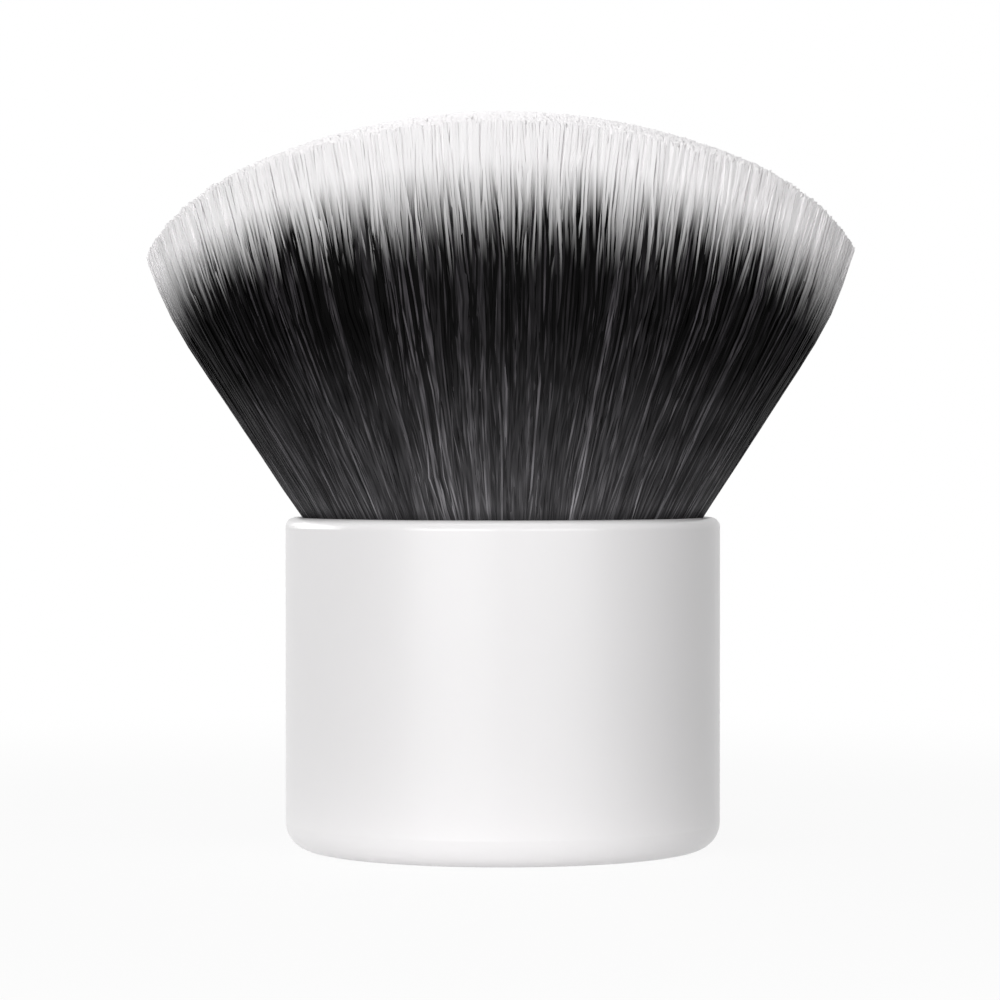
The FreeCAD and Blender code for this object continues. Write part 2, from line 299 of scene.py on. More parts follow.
class Surface(Wiring):
    """A material's tree, with the shader that its patterns feed."""

    def __init__(self, material: bpy.types.Material) -> None:
        """Starts the tree with a shader and an output.

        Args:
            material: The new material.
        """
        material.use_nodes = True
        material.node_tree.nodes.clear()
        super().__init__(material.node_tree)
        self.shader = self.add("ShaderNodeBsdfPrincipled")
        self.output = self.add("ShaderNodeOutputMaterial", sockets={"Surface": self.shader.outputs["BSDF"]})

    def place(self) -> Socket:
        """The place on the piece, in metres."""
        return self.add("ShaderNodeTexCoord").outputs["Object"]

    def give(self, **values: Any) -> None:
        """Gives the shader's sockets what varies or is the same all over, by name with _ for a space."""
        for name, value in values.items():
            self.feed(self.shader.inputs[name.replace("_", " ")], value)

    def vary(self, pattern: Value, first: Colour, second: Colour, roughness: Span) -> None:
        """Changes the colour and the roughness with a pattern that runs from 0 to 1."""
        self.give(Base_Color=self.mixed(pattern, first, second), Roughness=pattern.between(*roughness))

    def relieve(self, height: Value, relief: Relief) -> None:
        """Raises the surface by a height pattern that runs from 0 to 1."""
        sockets = {"Height": height, "Distance": relief.depth, "Strength": relief.strength}
        self.give(Normal=self.add("ShaderNodeBump", sockets=sockets).outputs["Normal"])


class Finish:
    """A finish: makes a material whose colour, roughness and relief vary over the piece."""

    name = "finish"

    def paint(self, surface: Surface) -> None:
        """Lays the finish on a surface.

        Args:
            surface: The material's tree.
        """
        raise NotImplementedError

    def material(self) -> bpy.types.Material:
        """The finish's material, made once.

        Returns:
            The material.
        """
        made = bpy.data.materials.get(self.name)
        if not made:
            made = bpy.data.materials.new(self.name)
            self.paint(Surface(made))
        return made


@dataclass(frozen=True)
class WhiteLacquer(Finish):
    """Satin white lacquer on the handle cup, with a faint orange peel."""

    name: str = "white_lacquer"
    colour: Colour = (0.872, 0.859, 0.865)
    clouded: Colour = (0.865, 0.852, 0.858)
    cloud: Clouding = Clouding(scale=140.0, detail=3.0, low=0.3, high=0.7)
    peel_scale: float = 2600.0
    peel: Relief = Relief(depth=0.012 * MM, strength=0.35)
    roughness: Span = (0.31, 0.33)
    coat: float = 0.25
    coat_roughness: float = 0.12
    refraction: float = 1.48

    def paint(self, surface: Surface) -> None:
        """Clouds the white a little and lays the orange peel over it.

        Args:
            surface: The material's tree.
        """
        place = surface.place()
        cloud = self.cloud.over(surface, place)
        surface.vary(cloud, self.colour, self.clouded, self.roughness)
        surface.give(Coat_Weight=self.coat, Coat_Roughness=self.coat_roughness, IOR=self.refraction)
        surface.relieve(surface.noise(place, self.peel_scale, detail=1.0), self.peel)


@dataclass(frozen=True)
class TippedFibre(Finish):
    """Synthetic fibre: grey by the rim, black above it and white at the tip, with painted highlight patches
    along the dark part and painted shade just above the rim.
    """

    name: str = "white_tipped_fibre"
    rim_grey: Colour = (0.102, 0.099, 0.1045)
    black: Colour = (0.0076, 0.0071, 0.0078)
    white: Colour = (0.985, 0.975, 0.98)
    # Painted shade: the dark fibre is darkened right above the rim, from rim_shade at the rim to full colour
    # by shaded_to.
    shaded_to: float = 0.035
    rim_shade: float = 0.5
    black_from: float = 0.57
    white_from: float = 0.925
    # Painted highlights: patches that brighten and darken the dark fibre along its length, where strands
    # would catch the light.
    patch: Clouding = Clouding(scale=1.0, detail=0.0, low=0.3, high=0.7)
    patch_length: float = 0.08
    patch_step: float = 0.7
    patch_tone: Span = (0.6, 1.4)
    grey_tone: Span = (0.62, 2.6)
    black_tone: Span = (0.1, 9.0)
    white_tone: Span = (0.97, 1.0)
    roughness: Span = (0.42, 0.55)
    specular: float = 0.03

    def paint(self, surface: Surface) -> None:
        """Reads each fibre's tone and the foot of its white from the column it has on the map.

        Args:
            surface: The material's tree.
        """
        placed = surface.add("ShaderNodeUVMap", {"uv_map": FIBRE_MAP}).outputs["UV"]
        across, up, _ = surface.parts(placed)
        height = (up - MAP_FOOT) / MAP_SPAN
        column = math.floor(across * COLUMNS)
        tone_step = math.floor(column / WHITE_STEPS)
        tone = tone_step / (TONE_STEPS - 1)
        white_share = (column - tone_step * WHITE_STEPS) / (WHITE_STEPS - 1)
        greyness = (1 - height / self.black_from).at_least(0).square()
        grey = surface.scaled(self.rim_grey, tone.between(*self.grey_tone))
        black = surface.scaled(self.black, tone.between(*self.black_tone))
        # Painted highlight patches along each strand, then painted shade just above the rim.
        spot = surface.vector(column * self.patch_step, height / self.patch_length, 0.0)
        lit = self.patch.over(surface, spot).between(*self.patch_tone)
        lit = lit * height.rising(0.0, self.shaded_to).between(self.rim_shade, 1.0)
        dark = surface.scaled(surface.mixed(greyness, black, grey), lit)
        white = surface.scaled(self.white, tone.between(*self.white_tone))
        foot = white_share.between(WHITE_LOWEST, WHITE_HIGHEST)
        whiteness = height.rising(foot, self.white_from)
        surface.give(
            Base_Color=surface.mixed(whiteness, dark, white),
            Roughness=tone.between(*self.roughness),
            Specular_IOR_Level=self.specular,
        )


@dataclass(frozen=True)
class MouldedPlastic(Finish):
    """Grey moulded plastic of the core, with flow marks and a fine spark texture."""

    name: str = "grey_moulded_plastic"
    colour: Colour = (0.30, 0.30, 0.31)
    flow: Colour = (0.25, 0.25, 0.26)
    streak: Clouding = Clouding(scale=220.0, detail=4.0, low=0.35, high=0.65)
    roughness: Span = (0.48, 0.62)
    spark_scale: float = 5200.0
    spark: Relief = Relief(depth=0.02 * MM, strength=0.5)

    def paint(self, surface: Surface) -> None:
        """Streaks the grey and roughens the skin.

        Args:
            surface: The material's tree.
        """
        place = surface.place()
        streak = self.streak.over(surface, place)
        surface.vary(streak, self.colour, self.flow, self.roughness)
        surface.relieve(surface.noise(place, self.spark_scale, detail=1.0), self.spark)


@dataclass(frozen=True)
class TurnedSteel(Finish):
    """Steel of the weight, with the rings that the lathe tool left."""

    name: str = "turned_steel"
    colour: Colour = (0.56, 0.55, 0.54)
    shaded: Colour = (0.47, 0.46, 0.455)
    ring_pitch: float = 0.35 * MM
    wander_scale: float = 300.0
    wander: float = 0.6
    roughness: Span = (0.24, 0.38)
    groove: Relief = Relief(depth=0.01 * MM, strength=0.4)

    def paint(self, surface: Surface) -> None:
        """Draws rings by the distance from the axis.

        Args:
            surface: The material's tree.
        """
        place = surface.place()
        x, y, _ = surface.parts(place)
        radius = (x.square() + y.square()).root()
        wander = surface.noise(place, self.wander_scale) * self.wander
        ring = (radius * (math.tau / self.ring_pitch) + wander).wave()
        surface.vary(ring, self.colour, self.shaded, self.roughness)
        surface.give(Metallic=1.0)
        surface.relieve(ring, self.groove)


@dataclass(frozen=True)
class PlugWood(Finish):
    """Pale wood of the spreader plug, with its grain upright."""

    name: str = "upright_grain_wood"
    early: Colour = (0.52, 0.36, 0.21)
    late: Colour = (0.33, 0.20, 0.10)
    stretch: float = 0.06
    band_rate: float = 4200.0
    band_warp: float = 9.0
    warp_scale: float = 260.0
    pores: Clouding = Clouding(scale=3000.0, detail=3.0, low=0.52, high=0.68)
    pore_share: float = 0.3
    roughness: Span = (0.55, 0.72)
    pore_relief: Relief = Relief(depth=0.05 * MM, strength=0.4)

    def paint(self, surface: Surface) -> None:
        """Stretches the grain along the plug's height.

        Args:
            surface: The material's tree.
        """
        x, y, z = surface.parts(surface.place())
        stretched = surface.vector(x, y, z * self.stretch)
        bands = (x * self.band_rate + surface.noise(stretched, self.warp_scale) * self.band_warp).wave()
        pores = self.pores.over(surface, stretched)
        grain = bands * (1 - self.pore_share) + pores * self.pore_share
        surface.vary(grain, self.early, self.late, self.roughness)
        surface.relieve(pores, self.pore_relief)


@dataclass(frozen=True)
class CastResin(Finish):
    """Amber casting resin round the roots, a little cloudy."""

    name: str = "amber_resin"
    clear: Colour = (0.42, 0.24, 0.07)
    cloudy: Colour = (0.55, 0.38, 0.17)
    bubble: Colour = (0.75, 0.62, 0.4)
    cloud: Clouding = Clouding(scale=320.0, detail=3.0, low=0.35, high=0.7)
    bubbles: Clouding = Clouding(scale=2400.0, detail=0.0, low=0.66, high=0.74)
    bubble_share: float = 0.6
    roughness: Span = (0.12, 0.3)
    pits: Relief = Relief(depth=0.04 * MM, strength=0.5)

    def paint(self, surface: Surface) -> None:
        """Clouds the amber and marks small bubbles.

        Args:
            surface: The material's tree.
        """
        place = surface.place()
        cloud = self.cloud.over(surface, place)
        bubbles = self.bubbles.over(surface, place)
        colour = surface.mixed(cloud, self.clear, self.cloudy)
        colour = surface.mixed(bubbles * self.bubble_share, colour, self.bubble)
        surface.give(Base_Color=colour, Roughness=cloud.between(*self.roughness))
        surface.relieve(1 - bubbles, self.pits)


@dataclass(frozen=True)
class WaxedThread(Finish):
    """Waxed linen thread of the binding, with the twist of its plies and painted shade in the furrows
    between them.
    """

    name: str = "waxed_linen_thread"
    colour: Colour = (0.58, 0.50, 0.37)
    # Darker colour of the furrows between the plies: painted shade.
    furrow: Colour = (0.33, 0.26, 0.17)
    plies_round: float = 90.0
    twist_rate: float = 7000.0
    wander_scale: float = 900.0
    wander: float = 1.5
    roughness: Span = (0.7, 0.5)
    plies: Relief = Relief(depth=0.08 * MM, strength=0.7)

    def paint(self, surface: Surface) -> None:
        """Twists the plies across the thread, with painted shade in the furrows.

        Args:
            surface: The material's tree.
        """
        place = surface.place()
        x, y, z = surface.parts(place)
        even = surface.angle(y, x) * self.plies_round + z * self.twist_rate
        twist = (even + surface.noise(place, self.wander_scale) * self.wander).wave()
        surface.vary(twist, self.furrow, self.colour, self.roughness)
        surface.relieve(twist, self.plies)


class HandlePiece(Enum):
    """The handle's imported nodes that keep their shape, with their finishes."""

    handle_shell = WhiteLacquer()
    handle_core = MouldedPlastic()
    ballast_disc = TurnedSteel()
    spreader_plug = PlugWood()
    resin_bed = CastResin()
    root_binding = WaxedThread()


class Handle:
    """The handle cup and what is bonded inside it."""

    def dress(self) -> None:
        """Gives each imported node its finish."""
        for piece in HandlePiece:
            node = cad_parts[piece.name]
            node.material_slots[0].material = piece.value.material()
            LOG.info("%s: %s", piece.name, piece.value.name)


class TubeDraw(Enum):
    """Numbers of the random draws that every fibre makes."""

    tilt = 0
    column = 10


class HeadDraw(Enum):
    """Numbers of the further draws of a fibre in the head."""

    wide = 1
    deep = 2
    tip = 3
    wave = 4
    lean = 5
    bend = 6
    thickness = 7
    tone = 8
    white = 9


class RootDraw(Enum):
    """Numbers of the further draws of a held root."""

    place = 1
    thickness = 2
    tone = 3
    white = 4


class FibreTree(Wiring):
    """A geometry node tree that grows fibres as thin tubes, each with its own column on the fibre map."""

    def __init__(self, name: str, sizes: dict[str, Any]) -> None:
        """Makes the tree with one named input for each size.

        Args:
            name: The tree's name.
            sizes: The inputs' names, with a value of the kind that each holds.
        """
        super().__init__(bpy.data.node_groups.new(name, "GeometryNodeTree"))
        kinds = {int: "NodeSocketInt", float: "NodeSocketFloat", bpy.types.Material: "NodeSocketMaterial"}
        interface = self.tree.interface
        interface.new_socket("Geometry", in_out="INPUT", socket_type="NodeSocketGeometry")
        interface.new_socket("Geometry", in_out="OUTPUT", socket_type="NodeSocketGeometry")
        self.identifiers = {
            label: interface.new_socket(label, in_out="INPUT", socket_type=kinds[type(value)]).identifier
            for label, value in sizes.items()
        }
        self.inputs = self.add("NodeGroupInput").outputs
        self.fibre: Value | None = None

    def __getitem__(self, label: str) -> Value:
        """A named input as a value."""
        return Value(self, self.inputs[label])

    def through(
        self, kind: str, geometry: Any, sockets: dict[str, Any] | None = None, **settings: str
    ) -> Socket:
        """Geometry passed through a node, which takes it and gives it back at its first sockets."""
        return self.add(kind, settings, {0: geometry} | (sockets or {})).outputs[0]

    def lines(self) -> Socket:
        """One straight line for each fibre.

        Returns:
            The lines' socket. The number of each line is kept as self.fibre.
        """
        line = self.add("GeometryNodeCurvePrimitiveLine", {"mode": "POINTS"}, {"End": (0.0, 0.0, 1.0)})
        points = {"Count": self.inputs["Points"]}
        divided = self.through("GeometryNodeResampleCurve", line.outputs["Curve"], points, mode="COUNT")
        sockets = {"Geometry": divided, "Amount": self.inputs["Fibres"]}
        copies = self.add("GeometryNodeDuplicateElements", {"domain": "SPLINE"}, sockets)
        self.fibre = Value(self, copies.outputs["Duplicate Index"])
        return copies.outputs["Geometry"]

    def step(self) -> Value:
        """The number of a point on its line, from 0 at the root."""
        return Value(self, self.add("GeometryNodeSplineParameter").outputs["Index"])

    def chance(self, draw: Enum, low: float = 0.0, high: float = 1.0) -> Value:
        """A random number for each fibre.

        Args:
            draw: The draw, whose number makes it differ from the others.
            low: Least value.
            high: Greatest value.

        Returns:
            The random value.
        """
        sockets = {"Min": low, "Max": high, "ID": self.fibre, "Seed": self["Seed"] + draw.value}
        node = self.add("FunctionNodeRandomValue", {"data_type": "FLOAT"}, sockets)
        return Value(self, self.find(node.outputs, "Value"))

    def wander(self, place: Socket) -> tuple[Value, Value]:
        """Smooth random numbers round 0.

        Args:
            place: The place in the noise, whose lumps are about 1 across.

        Returns:
            Two numbers.
        """
        sockets = {"Vector": place, "Scale": 1.0, "Detail": 0.0}
        noise = self.add("ShaderNodeTexNoise", sockets=sockets)
        first, second, _ = self.parts(noise.outputs["Color"])
        return first - 0.5, second - 0.5

    def kept(self, geometry: Any, name: str, value: Value) -> Socket:
        """Geometry with a value kept on its points under a name."""
        sockets = {"Name": name, "Value": value}
        return self.through(
            "GeometryNodeStoreNamedAttribute", geometry, sockets, data_type="FLOAT", domain="POINT"
        )

    def recalled(self, name: str) -> Value:
        """A value that was kept under a name."""
        node = self.add("GeometryNodeInputNamedAttribute", {"data_type": "FLOAT"}, {"Name": name})
        return Value(self, self.find(node.outputs, "Attribute"))

    def column(self, tone: Value, foot: Value) -> Value:
        """The fibre's column on the map.

        Args:
            tone: The fibre's tone, from 0 to 1.
            foot: The place at which its white starts, from 0 at the rim to 1 at the crown.

        Returns:
            The column's number.
        """
        tone_step = math.floor(tone * TONE_STEPS).at_most(TONE_STEPS - 1)
        share = (foot - WHITE_LOWEST) / (WHITE_HIGHEST - WHITE_LOWEST)
        white_step = math.floor(share * (WHITE_STEPS - 1) + self.chance(TubeDraw.column))
        return tone_step * WHITE_STEPS + white_step.at_least(0).at_most(WHITE_STEPS - 1)

    def finish(
        self, lines: Any, place: Any, thickness: Value, along: Value, column: Value, turn: Number = 0.0
    ) -> None:
        """Turns the lines into closed tubes with the fibre map and the material, and ends the tree.

        Args:
            lines: The lines' socket.
            place: Where each point goes.
            thickness: Radius of the tube at each point.
            along: Place of each point on the fibre map, from 0 at the rim to 1 at the crown.
            column: The fibre's column on the map.
            turn: How far the tube's outer flat side is turned from the direction away from the axis.
        """
        for name, value in {"along": along, "column": column, "thickness": thickness}.items():
            lines = self.kept(lines, name, value)
        tilt = self.chance(TubeDraw.tilt, FLAT_SIDE_OUT - TILT_SCATTER, FLAT_SIDE_OUT + TILT_SCATTER)
        turned = self.through("GeometryNodeSetCurveTilt", lines, {"Tilt": tilt + turn})
        placed = self.through("GeometryNodeSetPosition", turned, {"Position": place})
        sockets = {"Resolution": TUBE_SIDES, "Radius": 1.0}
        ring = self.add("GeometryNodeCurvePrimitiveCircle", {"mode": "RADIUS"}, sockets)
        ring = self.kept(ring.outputs["Curve"], "corner", self.step())
        sockets = {"Profile Curve": ring, "Scale": self.recalled("thickness"), "Fill Caps": True}
        mesh = self.through("GeometryNodeCurveToMesh", placed, sockets)
        corner = self.recalled("corner")
        middle_corner = 1 - abs(corner - 1)
        inset = COLUMN_INSET + corner * ((1 - 2 * COLUMN_INSET) / (TUBE_SIDES - 1))
        across = (self.recalled("column") + inset) / COLUMNS
        up = MAP_MARGIN + self.recalled("along") * MAP_SPAN + middle_corner * MAP_MARGIN
        sockets = {"Name": FIBRE_MAP, "Value": self.vector(across, up, 0.0)}
        mesh = self.through(
            "GeometryNodeStoreNamedAttribute", mesh, sockets, data_type="FLOAT2", domain="CORNER"
        )
        for name in ("along", "column", "thickness", "corner"):
            mesh = self.through("GeometryNodeRemoveAttribute", mesh, {"Name": name})
        mesh = self.through("GeometryNodeSetShadeSmooth", mesh, {"Shade Smooth": False})
        mesh = self.through("GeometryNodeRealizeInstances", mesh)
        mesh = self.through("GeometryNodeSetMaterial", mesh, {"Material": self.inputs["Material"]})
        self.add("NodeGroupOutput", sockets={"Geometry": mesh})

    def grow(self, name: str, sizes: dict[str, Any]) -> bpy.types.Object:
        """Grows the fibres with these sizes.

        Args:
            name: The piece's name.
            sizes: A value for each of the tree's inputs.

        Returns:
            The piece as a plain mesh.
        """
        piece = bpy.data.objects.new(name, bpy.data.meshes.new(name))
        bpy.context.scene.collection.objects.link(piece)
        modifier = piece.modifiers.new("fibres", "NODES")
        modifier.node_group = self.tree
        for label, value in sizes.items():
            modifier[self.identifiers[label]] = value
        depsgraph = bpy.context.evaluated_depsgraph_get()
        evaluated = piece.evaluated_get(depsgraph)
        mesh = bpy.data.meshes.new_from_object(evaluated, preserve_all_data_layers=True, depsgraph=depsgraph)
        piece.modifiers.clear()
        piece.data = mesh
        mesh.name = name
        LOG.info("%s: %d faces", name, len(mesh.polygons))
        return piece


@dataclass(frozen=True)
class Ring:
    """A ring of fibres: from and to which share of the mouth's radius, how many, and points on each."""

    inner_share: float
    outer_share: float
    fibres: int
    points: int


class FibreLayer(Enum):
    """Rings of fibres from the head's middle outwards. Those that show from the side have more points."""

    heart = Ring(0.0, 0.44, fibres=9000, points=4)
    inner = Ring(0.44, 0.64, fibres=9000, points=4)
    middle = Ring(0.64, 0.78, fibres=9000, points=4)
    outer = Ring(0.78, 0.87, fibres=7000, points=5)
    mantle = Ring(0.87, 0.925, fibres=4400, points=8)
    sheath = Ring(0.925, 0.96, fibres=3200, points=11)
    coat = Ring(0.96, 0.98, fibres=3200, points=11)
    skin = Ring(0.98, 0.99, fibres=3200, points=11)
    veil = Ring(0.99, 1.0, fibres=3200, points=11)


@dataclass(frozen=True)
class HeadSizes:
    """Sizes of the head that its tree has an input for, each under the field's own words."""

    mouth_radius: float = 18.4 * MM
    throat_radius: float = 16.5 * MM
    shoulder_softness: float = 2.0 * MM
    side_draw: float = 0.33
    front_draw: float = 0.088
    crown_radius: float = 55.5 * MM
    crown_set: float = 0.5 * MM
    edge_from: float = 0.6
    edge_drop: float = 1.9 * MM
    front_lift: float = 2.0 * MM
    fibre_radius: float = 0.08 * MM
    tip_growth: float = 1.8
    tip_radius: float = 0.11 * MM
    clumps_across: float = 100.0
    clump_pull: float = 0.12
    locks_across: float = 24.0
    lock_shift: float = 1.0 * MM
    wave_shift: float = 1.2 * MM
    wave_length: float = 6.5 * MM
    lean: float = 0.02
    bend: float = 0.1 * MM
    uneven_tips: float = 0.5 * MM
    white_length: float = 7.3 * MM
    white_scatter: float = 7.9 * MM
    side_reach: float = 0.55
    side_shortening: float = 0.55
    right_lengthening: float = 0.05
    side_set: float = -0.0125


@dataclass(frozen=True)
class RootSizes:
    """Sizes of the held roots that their tree has an input for, each under the field's own words."""

    fibres: int = 2600
    points: int = 4
    seed: int = 5
    bound_share: float = 0.69
    bound_radius: float = 15.7 * MM
    loose_radius: float = 16.5 * MM
    fibre_radius: float = 0.19 * MM


def labelled(sizes: Ring | HeadSizes | RootSizes) -> dict[str, float]:
    """The fields of some sizes by the labels of a tree's inputs, such as "Tip radius" for tip_radius."""
    return {name.replace("_", " ").capitalize(): value for name, value in vars(sizes).items()}


@dataclass
class FibreHead:
    """The fan of fibres above the rim, grown in rings from the throat of the handle to the tips.
    """

    sizes: HeadSizes = HeadSizes()
    half_width: float = 30.6 * MM
    shoulder_rise: float = 18.5 * MM
    crownward: Span = (0.3, 0.65)
    taper: Span = (0.8, 1.0)
    thickness_spread: Span = (0.75, 1.15)
    root_scatter: float = 0.6
    clump_tone: float = 0.4
    tone_power: int = 3
    clump_reach: float = 0.15
    side_power: int = 4
    loose_from: float = 0.12
    lock_turns: float = 0.5
    wave_step: float = 1.7
    wave_span: float = 40.0
    outward_share: float = 0.15
    bend_foot: float = 1.0 * MM
    bend_top: float = 5.0 * MM
    seed: int = 11
    seed_step: int = 100

    def inputs(self, layer: FibreLayer) -> dict[str, Any]:
        """The tree's inputs for one ring.

        Args:
            layer: The ring.

        Returns:
            Values by the inputs' names.
        """
        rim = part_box("handle_shell")[1].z
        worked_out = {
            "Seed": self.seed + self.seed_step * list(FibreLayer).index(layer),
            "Rim height": rim,
            "Throat height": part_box("fibre_waist")[0].z,
            "Flare": (self.half_width - self.sizes.mouth_radius) / self.shoulder_rise,
            "Shoulder foot": self.half_width - self.sizes.side_draw * self.shoulder_rise,
            "Crown rise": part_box("fibre_head")[1].z - rim,
            "Material": TippedFibre().material(),
        }
        return labelled(layer.value) | labelled(self.sizes) | worked_out

    def tree(self) -> FibreTree:
        """The tree that grows one ring.

        Returns:
            The finished tree.
        """
        tree = FibreTree("fibre_ring", self.inputs(FibreLayer.heart))
        lines = tree.lines()
        wide, deep = self.root_place(tree)
        cell_wide, cell_deep, cell_chance = self.clump(tree, wide, deep)
        cover, full_rise = self.rise(tree, wide, deep)
        step = tree.step()
        below_rim = 1 - step.at_most(1)
        climb = ((step - 1) / (tree["Points"] - 2)).at_least(0)
        rise = climb * full_rise
        pull = climb * tree["Clump pull"]
        half_wide, half_deep = self.spread(tree, rise)
        sway_wide, sway_deep = self.sway(tree, wide, deep, climb, rise)
        throat = tree["Throat radius"]
        place = tree.vector(
            below_rim.between(half_wide * (wide + (cell_wide - wide) * pull) + sway_wide, throat * wide),
            below_rim.between(half_deep * (deep + (cell_deep - deep) * pull) + sway_deep, throat * deep),
            below_rim.between(tree["Rim height"] + rise, tree["Throat height"]),
        )
        own_tone = tree.chance(HeadDraw.tone) * (1 - self.clump_tone)
        tone = (cell_chance * self.clump_tone + own_tone) ** self.tone_power
        column = tree.column(tone, self.white_foot(tree, wide, cell_chance))
        crown = tree["Crown rise"]
        along = (rise / cover).rising(*self.crownward).between(rise / crown, 1 - (cover - rise) / crown)
        turn = tree.angle(deep * half_wide, wide * half_deep) - tree.angle(deep, wide)
        tree.finish(lines, place, self.thickness(tree, climb), along, column, turn)
        return tree

    def root_place(self, tree: FibreTree) -> tuple[Value, Value]:
        """Where each fibre stands in the mouth, as shares of its radius along X and Y.

        Args:
            tree: The tree being made.

        Returns:
            The two shares.
        """
        inner = tree["Inner share"].square()
        ring = tree["Outer share"].square() - inner
        count = tree["Fibres"]
        radius = (inner + ring * (tree.fibre + 0.5) / count).root()
        turn = tree.fibre * GOLDEN_ANGLE
        spacing = (ring * math.pi / count).root()
        scatter = (-self.root_scatter, self.root_scatter)
        wide = radius * turn.cosine() + spacing * tree.chance(HeadDraw.wide, *scatter)
        deep = radius * turn.sine() + spacing * tree.chance(HeadDraw.deep, *scatter)
        within = (1 / (wide.square() + deep.square()).root()).at_most(1)
        return wide * within, deep * within

    def clump(self, tree: FibreTree, wide: Value, deep: Value) -> tuple[Value, Value, Value]:
        """The clump that a fibre belongs to.

        Args:
            tree: The tree being made.
            wide: Share of the mouth's radius along X.
            deep: Share of the mouth's radius along Y.

        Returns:
            The clump's own two shares and a random number of its own.
        """
        sockets = {"Vector": tree.vector(wide, deep, 0.0), "Scale": tree["Clumps across"] / 2}
        cell = tree.add("ShaderNodeTexVoronoi", {"voronoi_dimensions": "2D"}, sockets)
        cell_wide, cell_deep, _ = tree.parts(cell.outputs["Position"])
        return cell_wide, cell_deep, tree.parts(cell.outputs["Color"])[0]

    def spread(self, tree: FibreTree, rise: Value) -> tuple[Value, Value]:
        """Half the width and half the depth of the head at a height above the rim.

        Args:
            tree: The tree being made.
            rise: The height above the rim.

        Returns:
            The two halves.
        """
        mouth = tree["Mouth radius"]
        flared = mouth + rise * tree["Flare"]
        drawn = tree["Shoulder foot"] + rise * tree["Side draw"]
        half_wide = flared.blended_minimum(drawn, tree["Shoulder softness"])
        return half_wide, mouth + rise * tree["Front draw"]

    def rise(self, tree: FibreTree, wide: Value, deep: Value) -> tuple[Value, Value]:
        """How far a fibre rises above the rim.

        Args:
            tree: The tree being made.
            wide: Share of the head's half width.
            deep: Share of the head's half depth.

        Returns:
            The heights above the rim of the crown's even cover over the fibre and of the fibre's tip.
        """
        x = tree["Shoulder foot"] * wide - tree["Crown set"]
        y = tree["Mouth radius"] * deep
        lean_x, lean_y = tree["Side draw"] * wide, tree["Front draw"] * deep
        crown = tree["Crown radius"]
        sunk = crown - tree["Crown rise"]
        square_term = lean_x.square() + lean_y.square() + 1
        half_term = x * lean_x + y * lean_y + sunk
        last_term = x.square() + y.square() + sunk.square() - crown.square()
        to_crown = ((half_term.square() - square_term * last_term).root() - half_term) / square_term
        edge_from = tree["Edge from"]
        edge = ((abs(wide) - edge_from) / (1 - edge_from)).at_least(0)
        cover = to_crown + deep.square() * tree["Front lift"]
        uneven = tree.chance(HeadDraw.tip).square() * tree["Uneven tips"]
        drop = edge.square() * tree["Edge drop"] + uneven
        return cover, cover - drop

    def thickness(self, tree: FibreTree, climb: Value) -> Value:
        """The radius of a fibre, which grows on the way up and tapers to the tip.

        Args:
            tree: The tree being made.
            climb: How far up the fibre, from 0 to 1.

        Returns:
            The radius.
        """
        grown = climb.between(1.0, tree["Tip growth"])
        own = tree["Fibre radius"] * tree.chance(HeadDraw.thickness, *self.thickness_spread) * grown
        return climb.rising(*self.taper).between(own, tree["Tip radius"])

    def white_foot(self, tree: FibreTree, wide: Value, cell_chance: Value) -> Value:
        """Where a fibre's white starts.

        Args:
            tree: The tree being made.
            wide: Share of the mouth's radius along X.
            cell_chance: The random number of the fibre's clump.

        Returns:
            The place, from 0 at the rim to 1 at the crown.
        """
        reach = tree.chance(HeadDraw.white) * (1 - self.clump_reach) + cell_chance * self.clump_reach
        reach = (wide.square() ** self.side_power).between(reach, tree["Side reach"])
        shortened = 1 - wide.square() * (1 - wide**self.side_power) * tree["Side shortening"]
        shortened = shortened + wide * tree["Right lengthening"]
        length = tree["White length"] + reach * tree["White scatter"]
        return 1 - length * shortened / tree["Crown rise"]

    def sway(
        self, tree: FibreTree, wide: Value, deep: Value, climb: Value, rise: Value
    ) -> tuple[Value, Value]:
        """How far a fibre strays from its straight line: with its lock, in its own waves, and as a whole.

        Args:
            tree: The tree being made.
            wide: Share of the mouth's radius along X.
            deep: Share of the mouth's radius along Y.
            climb: How far up the fibre, from 0 to 1.
            rise: The height above the rim.

        Returns:
            The distances along X and Y, in metres.
        """
        locks = tree["Locks across"] / 2
        turns = rise / tree["Wave length"]
        lock_place = tree.vector(wide * locks, deep * locks, turns * self.lock_turns)
        lock_round, lock_out = tree.wander(lock_place)
        own = tree.chance(HeadDraw.wave) * self.wave_span
        wave_round, wave_out = tree.wander(tree.vector(tree.fibre * self.wave_step, own, turns))
        loose = climb.rising(0.0, self.loose_from)
        lock_shift, wave_shift = tree["Lock shift"] * loose, tree["Wave shift"] * loose
        lean = tree.chance(HeadDraw.lean, -1.0, 1.0) * tree["Lean"] * rise
        bend = tree.chance(HeadDraw.bend, -1.0, 1.0) * tree["Bend"] * climb.square()
        round_head = lock_round * lock_shift + wave_round * wave_shift + lean
        outward = (lock_out * lock_shift + wave_out * wave_shift) * self.outward_share + bend
        aside = tree["Side set"] * rise
        return wide * outward - deep * round_head + aside, deep * outward + wide * round_head

    def build(self) -> None:
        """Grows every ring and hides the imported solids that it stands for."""
        tree = self.tree()
        for layer in FibreLayer:
            piece = tree.grow(f"fibre_ring_{layer.name}", self.inputs(layer))
            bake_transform(piece)
            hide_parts("fibre_waist", "fibre_head")


